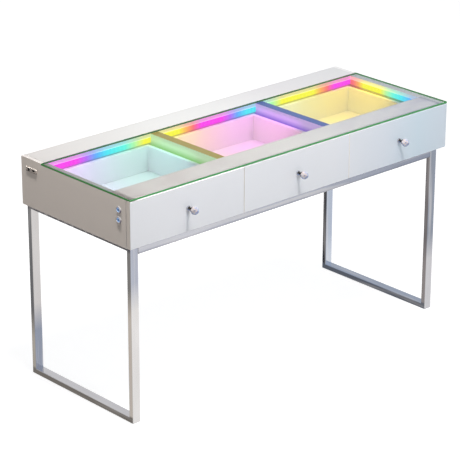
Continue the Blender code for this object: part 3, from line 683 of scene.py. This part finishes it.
def new_piece(name, mesh, material, body):
    """A mesh as a piece of the object: painted, smooth, riding on its body."""
    data = bpy.data.meshes.new(name)
    bmesh.ops.recalc_face_normals(mesh, faces=mesh.faces)
    mesh.to_mesh(data)
    mesh.free()
    piece = bpy.data.objects.new(name, data)
    bpy.context.scene.collection.objects.link(piece)
    paint(piece, material)
    data.shade_smooth()
    split = piece.modifiers.new("crisp_rims", "EDGE_SPLIT")
    split.split_angle = math.radians(38)
    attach(piece, body)
    return piece


def lathe(mesh, profile, centre, direction, sides=32, socket=None):
    """Turns a closed profile of (radius, distance along direction) into a solid round an axis.
    The points whose index is in socket follow a hexagon instead of a circle."""
    turn = Vector((0, 0, 1)).rotation_difference(Vector(direction)).to_matrix()
    rings = []
    for index, (radius, distance) in enumerate(profile):
        if radius == 0:
            rings.append([mesh.verts.new(Vector(centre) + turn @ Vector((0, 0, distance)))])
            continue
        ring = []
        for side in range(sides):
            angle = math.tau * side / sides
            reach = radius
            if socket and index in socket:
                reach = radius / math.cos((angle + math.pi / 6) % (math.pi / 3) - math.pi / 6)
            point = Vector((reach * math.cos(angle), reach * math.sin(angle), distance))
            ring.append(mesh.verts.new(Vector(centre) + turn @ point))
        rings.append(ring)
    for first, second in zip(rings, rings[1:]):
        if len(first) == 1 and len(second) == 1:
            continue
        for side in range(sides):
            after = (side + 1) % sides
            if len(first) == 1:
                mesh.faces.new((first[0], second[side], second[after]))
            elif len(second) == 1:
                mesh.faces.new((first[side], second[0], first[after]))
            else:
                mesh.faces.new((first[side], second[side], second[after], first[after]))


def screw_head(mesh, centre, direction, radius, height):
    """A button-head screw with a hexagon socket."""
    profile = [
        (0, height * 0.25),
        (radius * 0.42, height * 0.25),
        (radius * 0.42, height * 0.96),
        (radius * 0.52, height),
        (radius * 0.80, height * 0.82),
        (radius * 0.96, height * 0.42),
        (radius, 0),
        (radius, -height * 0.1),
        (0, -height * 0.1),
    ]
    lathe(mesh, profile, centre, direction, 24, socket={1, 2})


def make_button_faces(materials):
    """A push button's collar, lit ring and centre stand for its plain cap."""
    gap = 0.00012
    for place in ("upper", "lower"):
        low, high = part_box(f"{place}_button_cap")
        reach = high[0] - low[0]
        radius = (high[2] - low[2]) / 2
        centre = (high[0], (low[1] + high[1]) / 2, (low[2] + high[2]) / 2)
        lens_radius = radius * 0.88
        core_radius = lens_radius * 0.48
        parts = {
            "collar": ("button_metal", [
                (lens_radius + gap, 0), (lens_radius + gap, reach * 0.90), (lens_radius + 0.0005, reach),
                (radius * 0.92, reach), (radius, reach * 0.93), (radius, 0), (lens_radius + gap, 0),
            ]),
            "ring": ("button_glow", [
                (core_radius + gap, 0), (core_radius + gap, reach * 0.80),
                (core_radius + 0.0005, reach * 0.88), (lens_radius * 0.75, reach * 0.93),
                (lens_radius * 0.93, reach * 0.90),
                (lens_radius, reach * 0.82), (lens_radius, 0), (core_radius + gap, 0),
            ]),
            "core": ("button_core", [
                (0, reach * 0.78), (core_radius * 0.6, reach * 0.80), (core_radius * 0.85, reach * 0.86),
                (core_radius * 0.95, reach * 0.86), (core_radius, reach * 0.82), (core_radius, 0), (0, 0),
            ]),
        }
        for part, (finish, profile) in parts.items():
            mesh = bmesh.new()
            lathe(mesh, profile, centre, (-1, 0, 0), 48)
            bmesh.ops.remove_doubles(mesh, verts=mesh.verts, dist=0.000001)
            name = f"{place}_button_{part}"
            piece = new_piece(name, mesh, materials[finish], f"{place}_button")
            if part == "collar":
                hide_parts(f"{place}_button_cap")


def make_knob_screws(materials):
    """The screw that holds each knob, inside its drawer."""
    for bay in BAYS:
        low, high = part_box(f"{bay}_knob_stem")
        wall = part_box(f"{bay}_drawer_box")[0][1] + BOX_WALL
        mesh = bmesh.new()
        centre = ((low[0] + high[0]) / 2, wall, (low[2] + high[2]) / 2)
        screw_head(mesh, centre, (0, 1, 0), *KNOB_SCREW)
        new_piece(f"{bay}_knob_screw", mesh, materials["runner_steel"], f"{bay}_drawer")


def make_sled_screws(materials):
    """Screws through the top bar of each leg frame, and through the rails, into the body."""
    for side in ("left", "right"):
        low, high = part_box(f"{side}_sled")
        for place, depth in (("front", low[1] + SLED_SCREW_SETBACK), ("rear", high[1] - SLED_SCREW_SETBACK)):
            mesh = bmesh.new()
            centre = ((low[0] + high[0]) / 2, depth, high[2] - SLED_TUBE)
            screw_head(mesh, centre, (0, 0, -1), *SLED_SCREW)
            new_piece(f"{side}_{place}_sled_screw", mesh, materials["chrome"], "table")
    for rail in ("front_rail", "rear_rail"):
        low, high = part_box(rail)
        for index, share in enumerate(RAIL_SCREW_SHARES):
            mesh = bmesh.new()
            centre = (low[0] + share * (high[0] - low[0]), (low[1] + high[1]) / 2, low[2])
            screw_head(mesh, centre, (0, 0, -1), *RAIL_SCREW)
            new_piece(f"{rail}_screw_{index + 1}", mesh, materials["chrome"], "table")


def slab(mesh, low, high, chamfer=0.0):
    """A block with broken edges."""
    made = bmesh.ops.create_cube(mesh, size=1.0)["verts"]
    for vert in made:
        for axis in range(3):
            vert.co[axis] = high[axis] if vert.co[axis] > 0 else low[axis]
    if chamfer:
        edges = list({edge for vert in made for edge in vert.link_edges})
        bmesh.ops.bevel(mesh, geom=edges, offset=chamfer, segments=2, affect="EDGES", profile=0.5)


def make_runner_screws(materials, bay, side, outward):
    """The screws through the web of a drawer's runner into the drawer's side."""
    low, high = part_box(f"{bay}_drawer_runner_{side}")
    web = high[0] - RUNNER_SHEET if outward < 0 else low[0] + RUNNER_SHEET
    middle = (low[2] + high[2]) / 2
    mesh = bmesh.new()
    for share in RUNNER_SCREW_SHARES:
        place = (web, low[1] + share * (high[1] - low[1]), middle)
        screw_head(mesh, place, (outward, 0, 0), *RUNNER_SCREW)
    new_piece(f"{bay}_drawer_runner_screws_{side}", mesh, materials["runner_steel"],
              f"{bay}_drawer")


def make_ball_cages(materials, bay, side):
    """Two rows of balls in their cages, above and below a drawer's runner."""
    low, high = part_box(f"{bay}_drawer_runner_{side}")
    cabinet_low, cabinet_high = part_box(f"{bay}_cabinet_runner_{side}")
    middle = (low[2] + high[2]) / 2
    roof = cabinet_high[2] - RUNNER_SHEET
    track = (high[2] + roof) / 2 - middle
    ball = (roof - high[2]) / 2 * 0.88
    across = (max(low[0], cabinet_low[0] + RUNNER_SHEET) + min(high[0], cabinet_high[0] - RUNNER_SHEET)) / 2
    start = cabinet_low[1] + CAGE_START
    profile = [(0, -ball), (ball * 0.71, -ball * 0.71), (ball, 0), (ball * 0.71, ball * 0.71), (0, ball)]
    mesh = bmesh.new()
    for level in (middle - track, middle + track):
        slab(mesh, (across - CAGE_HALF_WIDTH, start, level - CAGE_HALF_SHEET),
             (across + CAGE_HALF_WIDTH, start + BALLS * BALL_PITCH, level + CAGE_HALF_SHEET), 0.00015)
        for index in range(BALLS):
            lathe(mesh, profile, (across, start + BALL_PITCH * (index + 0.5), level), (0, 0, 1), 12)
    new_piece(f"{bay}_ball_cages_{side}", mesh, materials["chrome"], "table")


def make_runner_details(materials):
    """Screws in the drawers' runners, and the ball cages between each pair of runners."""
    for bay in BAYS:
        for side, outward in (("left", -1), ("right", 1)):
            make_runner_screws(materials, bay, side, outward)
            make_ball_cages(materials, bay, side)


def make_bumpers(materials):
    """Soft dots on the front edge of the bottom panel, which the drawers close against."""
    low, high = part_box("bottom_panel")
    inset = 0.060
    profile = [(0, 0.0011), (0.0020, 0.0010), (0.0034, 0.0007), (0.0040, 0), (0.0040, -0.0001), (0, -0.0001)]
    for bay in BAYS:
        front_low, front_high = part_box(f"{bay}_drawer_front")
        dots = bmesh.new()
        for across in (front_low[0] + inset, front_high[0] - inset):
            centre = (across, low[1], (low[2] + high[2]) / 2)
            lathe(dots, profile, centre, (0, -1, 0), 24)
        new_piece(f"{bay}_front_bumpers", dots, materials["bumper"], "table")


def make_port_lip(materials):
    """The raised edge round the port plate."""
    low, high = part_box("port_plate")
    mesh = bmesh.new()
    loops = []
    profile = ((0.0, -0.0002), (0.0001, 0.0001), (0.0010, 0.0011), (0.0014, 0.0011), (0.0022, -0.0002))
    for inset, proud in profile:
        loop = []
        radius = 0.002 - min(inset, 0.0015)
        for quarter, (along, up) in enumerate(((1, 1), (-1, 1), (-1, -1), (1, -1))):
            corner = ((high[1] if along > 0 else low[1]) - along * (inset + radius),
                      (high[2] if up > 0 else low[2]) - up * (inset + radius))
            for step in range(5):
                angle = math.pi / 2 * (quarter + step / 4)
                loop.append(mesh.verts.new((low[0] - proud, corner[0] + radius * math.cos(angle),
                                            corner[1] + radius * math.sin(angle))))
        loops.append(loop)
    for first, second in zip(loops, loops[1:] + loops[:1]):
        for index in range(len(first)):
            after = (index + 1) % len(first)
            mesh.faces.new((first[index], first[after], second[after], second[index]))
    new_piece("port_plate_lip", mesh, materials["port_lip"], "table")


def make_usb_contacts(materials):
    """The four plated contacts on the tongue of the USB socket."""
    low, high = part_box("usb_socket")
    middle = (low[1] + high[1]) / 2
    tongue_top = (low[2] + high[2]) / 2 + 0.0018
    mesh = bmesh.new()
    for index in range(4):
        across = middle + (index - 1.5) * 0.0024
        slab(mesh, (low[0] + 0.0022, across - 0.0006, tongue_top - 0.0001),
             (low[0] + 0.0100, across + 0.0006, tongue_top + 0.0002), 0.00008)
    new_piece("usb_contacts", mesh, materials["contact_gold"], "table")


# ---------------------------------------------------------------- stage, light, camera

def make_floor():
    mesh = bpy.data.meshes.new("floor")
    half = FLOOR_SIDE / 2
    corners = [(across * half, depth * half, -FLOOR_DROP)
               for across, depth in ((-1, -1), (1, -1), (1, 1), (-1, 1))]
    mesh.from_pydata(corners, [], [(0, 1, 2, 3)])
    floor = bpy.data.objects.new("floor", mesh)
    bpy.context.scene.collection.objects.link(floor)
    graph = new_material("floor")
    seen = graph.node("ShaderNodeLightPath").outputs["Is Camera Ray"]
    glow = graph.mix(seen, (1.0, 0.86, 0.75), (1.0, 1.0, 1.0))
    strength = graph.between(seen, FLOOR_BOUNCE, FLOOR_GLOW)
    shader = surface(graph, FLOOR_COLOUR, 0.9, Emission_Color=glow, Emission_Strength=strength)
    paint(floor, finished(graph, shader))
    floor.visible_glossy = False


def make_world():
    """White to the camera, a dim even fill, and for reflections a studio that is bright in front
    and to the right, and darker behind and to the left."""
    world = bpy.data.worlds.new("studio")
    bpy.context.scene.world = world
    graph = Graph(world, "ShaderNodeOutputWorld")
    direction = graph.node("ShaderNodeTexCoord").outputs["Generated"]
    x, y, z = graph.parts(direction)
    to_front = graph.calculate("MULTIPLY_ADD", x, 0.45, graph.times(y, -0.89))
    front_share = graph.along(to_front, -0.35, 0.45, interpolation_type="SMOOTHSTEP")
    low_part = graph.mix(front_share, (0.62, 0.60, 0.58), (0.92, 0.91, 0.90))
    high_part = graph.mix(front_share, (0.70, 0.71, 0.74), (0.95, 0.96, 0.98))
    up_share = graph.along(z, -0.15, 0.25, interpolation_type="SMOOTHSTEP")
    studio = graph.mix(up_share, low_part, high_part)
    path = graph.node("ShaderNodeLightPath").outputs
    fill = graph.mix(path["Is Diffuse Ray"], studio, (0.10, 0.10, 0.105))
    seen = graph.mix(path["Is Camera Ray"], fill, (1.0, 1.0, 1.0))
    background = graph.node("ShaderNodeBackground", {"Color": seen, "Strength": 1.0}).outputs[0]
    finished(graph, background)


def area_light(name, place, target, size, power, colour):
    """A rectangular light that faces target and isn't seen by the camera or in reflections."""
    light = bpy.data.lights.new(name, "AREA")
    light.shape = "RECTANGLE"
    light.size, light.size_y = size
    light.energy = power
    light.color = colour
    light.spread = math.pi
    lamp = bpy.data.objects.new(name, light)
    lamp.location = place
    lamp.rotation_euler = (Vector(target) - Vector(place)).to_track_quat("-Z", "Y").to_euler()
    lamp.visible_camera = False
    lamp.visible_glossy = False
    bpy.context.scene.collection.objects.link(lamp)
    return lamp


def only_lights(lamp, *nodes):
    """Keeps a lamp to these nodes, so that it shapes their shadows and leaves the rest of the light alone."""
    lit = bpy.data.collections.new(f"{lamp.name}_receivers")
    for node in nodes:
        lit.objects.link(node)
    lamp.light_linking.receiver_collection = lit


def make_grazing_lights():
    """Two small lamps high over the front and the left side, for shadows under knobs and buttons."""
    front = area_light("front_grazing", (-0.3, -0.72, 3.2), (-0.1, -0.25, 0.6), (0.16, 0.16), 78.0,
                       (1.0, 0.98, 0.96))
    fronts = [NODES[f"{bay}_drawer_front"] for bay in BAYS]
    only_lights(front, *fronts)
    side = area_light("side_grazing", (-0.99, -0.10, 3.0), (-0.7, 0.0, 0.65), (0.10, 0.10), 92.0,
                      (1.0, 0.96, 0.93))
    lit = [NODES["left_side_panel"], NODES["port_plate"], NODES["left_drawer_front"]]
    only_lights(side, *lit, bpy.data.objects["port_plate_lip"])


# light: (place, the point it faces, its sides, watts, colour)
STUDIO_LIGHTS = {
    "overhead": ((0.05, -0.75, 3.0), (0.0, 0.0, 0.6), (2.2, 1.0), 70.0, (1.0, 0.985, 0.965)),
    "front_fill": ((-0.85, -3.4, 1.6), (-0.1, 0.0, 0.6), (1.2, 1.6), 21.0, (0.66, 0.82, 1.0)),
    "front_right_fill": ((2.6, -2.6, 1.3), (0.6, -0.2, 0.6), (1.0, 1.0), 7.0, (0.20, 0.62, 1.0)),
    "rear_fill": ((1.5, 4.0, 2.0), (0.0, 0.0, 0.5), (2.5, 2.0), 30.0, (1.0, 1.0, 1.0)),
}


def make_studio_lights():
    for name, settings in STUDIO_LIGHTS.items():
        area_light(name, *settings)


# The tone that the strips throw over each drawer, from its left to its right
WELL_TONES = {
    "left": [
        (0.95, 0.68, 0.96), (0.82, 0.76, 0.95), (0.74, 0.80, 0.87), (0.64, 0.85, 0.79), (0.60, 0.84, 0.80),
    ],
    "center": [
        (1.0, 0.90, 0.32), (1.0, 0.80, 0.54), (0.95, 0.63, 0.74), (0.95, 0.62, 0.95), (0.94, 0.52, 0.93),
    ],
    "right": [
        (0.86, 0.94, 0.74), (0.90, 0.87, 0.54), (0.86, 0.79, 0.26), (0.94, 0.81, 0.08), (0.96, 0.80, 0.04),
    ],
}
WELL_POWER = 0.103
WELL_LAMP_DEPTH = 0.21
WELL_LAMP_SETBACK = 0.112           # from the rear light strip to the lamps' middle


def make_well_lights():
    """What the light strips throw into each well: a row of small lamps just under the glass."""
    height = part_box("glass_top")[0][2] - 0.006
    for bay, tones in WELL_TONES.items():
        low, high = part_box(f"led_strip_rear_{bay}")
        step = (high[0] - low[0]) / len(tones)
        for index, tone in enumerate(tones):
            place = (low[0] + step * (index + 0.5), low[1] - WELL_LAMP_SETBACK, height)
            below = (place[0], place[1], 0.0)
            area_light(f"{bay}_well_light_{index + 1}", place, below, (step * 0.8, WELL_LAMP_DEPTH),
                       WELL_POWER, linear(tone))


def make_camera():
    data = bpy.data.cameras.new("camera")
    data.lens = CAMERA_LENS
    data.sensor_width = SENSOR
    camera = bpy.data.objects.new("camera", data)
    camera.location = CAMERA_PLACE
    camera.rotation_euler = Euler([math.radians(angle) for angle in CAMERA_TURN])
    data.clip_start = 0.1
    data.clip_end = 100.0
    bpy.context.scene.collection.objects.link(camera)
    bpy.context.scene.camera = camera
    bpy.context.scene.view_settings.view_transform = "Standard"


# ---------------------------------------------------------------- the build

def make_materials():
    made = {
        "white_lacquer": white_lacquer(),
        "drawer_bottom_board": drawer_bottom_board(),
        "clear_glass": clear_glass(),
        "black_plastic": moulded_plastic("black_plastic", (0.16, 0.16, 0.17)),
        "port_plate_plastic": moulded_plastic("port_plate_plastic", (0.97, 0.92, 0.885)),
        "socket_metal": brushed_metal("socket_metal", (0.36, 0.36, 0.36), (0.1, 1, 1)),
        "button_metal": button_chrome(),
        "port_lip": lip_plastic(),
        "button_cap": moulded_plastic("button_cap", (0.70, 0.80, 0.90)),
        "knob_metal": stem_metal(),
        "cut_glass": cut_glass(),
        "runner_steel": brushed_metal("runner_steel", (0.76, 0.77, 0.78), (1, 0.03, 1)),
        "chrome": polished_metal("chrome", (0.94, 0.94, 0.95), 0.03, 0.14),
        "lead_jacket": moulded_plastic("lead_jacket", (0.10, 0.10, 0.11), 0.4, 0.6, 500.0),
        "button_glow": glow_ring("button_glow", (0.55, 0.71, 0.93), 0.60),
        "button_core": moulded_plastic("button_core", (0.28, 0.40, 0.66), 0.2, 0.35),
        "bumper": moulded_plastic("bumper", (0.86, 0.87, 0.86), 0.3, 0.45),
        "contact_gold": brushed_metal("contact_gold", (0.92, 0.76, 0.42), (0.05, 1, 1), 0.15, 0.3),
        "left_divider": divider("left_divider", (0.82, 0.95, 0.74), (0.62, 0.84, 0.52), (0.86, 0.76, 0.14)),
        "right_divider": divider("right_divider", (0.82, 0.72, 0.97), (0.58, 0.44, 0.86), (0.16, 0.40, 0.86)),
    }
    for strip in RAINBOWS:
        made[strip] = led_diffuser(strip)
    made["front_top_strip"] = lacquer_with_painted_light("strip_lacquer", PAINTED_ROOM_LIGHT["strip"], 0.35)
    made["rear_deck"] = deck_lacquer()
    made["left_side_panel"] = lacquer_with_painted_light("side_lacquer", PAINTED_ROOM_LIGHT["sides"])
    fronts = lacquer_with_painted_light("front_lacquer", PAINTED_ROOM_LIGHT["fronts"])
    made.update({f"{bay}_drawer_front": fronts for bay in BAYS})
    for wall, strip in WELL_WALLS.items():
        made[wall] = well_wall(wall, strip)
    for sled, tones in SLED_PAINTED_REFLECTIONS.items():
        made[sled] = leg_chrome(sled, tones)
    made["front_rail"] = made["rear_rail"] = rail_chrome()
    return made


# leg frame: {face: (upper tone, lower tone, share of the height where they meet)}, and the tones of its bars;
# all are painted reflections and shade
SLED_PAINTED_REFLECTIONS = {
    "left_sled": {
        "front_leg_front": ((0.76, 0.78, 0.84), (0.94, 0.935, 0.935), 0.72),
        "rear_leg_front": ((0.86, 0.85, 0.85), (0.60, 0.63, 0.70), 0.34),
        "front_leg_side": ((0.60, 0.60, 0.60), (0.90, 0.87, 0.84), 0.68),
        "rear_leg_side": ((0.50, 0.51, 0.53), (0.78, 0.76, 0.73), 0.30),
        "top_bar": (0.42, 0.42, 0.44),
        "floor_bar": (0.545, 0.53, 0.515),
        "bar_top": (0.90, 0.89, 0.89),
    },
    "right_sled": {
        "front_leg_front": ((0.61, 0.64, 0.70), (0.84, 0.84, 0.86), 0.40),
        "rear_leg_front": ((0.74, 0.78, 0.85), (0.84, 0.87, 0.92), 0.15),
        "front_leg_side": ((0.56, 0.55, 0.57), (0.68, 0.66, 0.67), 0.35),
        "rear_leg_side": ((0.56, 0.58, 0.62), (0.20, 0.22, 0.27), 0.62),
        "top_bar": (0.42, 0.43, 0.47),
        "floor_bar": (0.42, 0.45, 0.51),
        "bar_top": (0.66, 0.70, 0.77),
    },
}
# Painted warm shade on the faces towards the left
LEFT_SIDE_PAINTED_SHADE = (0.928, 0.896, 0.864)
# share of the table's length, from its left: tone of the room's light painted on the lacquer
PAINTED_ROOM_LIGHT = {
    "sides": [(0.0, (0.955, 0.935, 0.922)), (1.0, (0.94, 0.943, 0.95))],
    "strip": [(0.0, (0.845, 0.80, 0.785)), (0.5, (0.92, 0.90, 0.89)), (1.0, (0.755, 0.755, 0.82))],
    "deck": [(0.0, (0.955, 0.935, 0.92)), (0.35, (1.0, 1.0, 0.99)), (0.55, (0.995, 0.995, 0.99)),
             (0.75, (0.948, 0.94, 0.95)), (1.0, (0.93, 0.933, 0.94))],
    "fronts": [(0.0, (0.99, 0.985, 0.99)), (0.62, (0.985, 0.985, 0.995)), (0.78, (0.955, 0.973, 1.0)),
               (0.90, (0.905, 0.965, 1.0)), (1.0, (0.93, 0.965, 0.998))],
}
WELL_WALLS = {
    "well_back_wall": "led_strip_rear_left",
    "left_liner": "led_strip_side_left",
    "right_liner": "led_strip_side_right",
}
# CAD nodes whose material has the node's own name instead of their slot's
SPECIAL = {
    "front_top_strip", "rear_deck", "left_side_panel", "left_divider", "right_divider",
    "front_rail", "rear_rail", *(f"{bay}_drawer_front" for bay in BAYS),
    *SLED_PAINTED_REFLECTIONS, *RAINBOWS, *WELL_WALLS,
}
SMOOTH_PARTS = ("knob_stem", "button_housing", "power_jack", "lead")


def dress_nodes(materials):
    """Gives every CAD node its finish from its own slot, and its shading from its shape."""
    for name, node in NODES.items():
        slot = node.data.materials[0].name.split(".")[0]
        paint(node, materials[name if name in SPECIAL else slot])
        if name.endswith("knob_ball"):
            facet(node)
        elif name.endswith(SMOOTH_PARTS):
            smooth_turned(node)
        else:
            soften_board(node)


make_camera()
make_world()
make_floor()
make_studio_lights()
make_well_lights()
all_materials = make_materials()
dress_nodes(all_materials)
make_button_faces(all_materials)
make_knob_screws(all_materials)
make_sled_screws(all_materials)
make_runner_details(all_materials)
make_bumpers(all_materials)
make_port_lip(all_materials)
make_usb_contacts(all_materials)
make_grazing_lights()
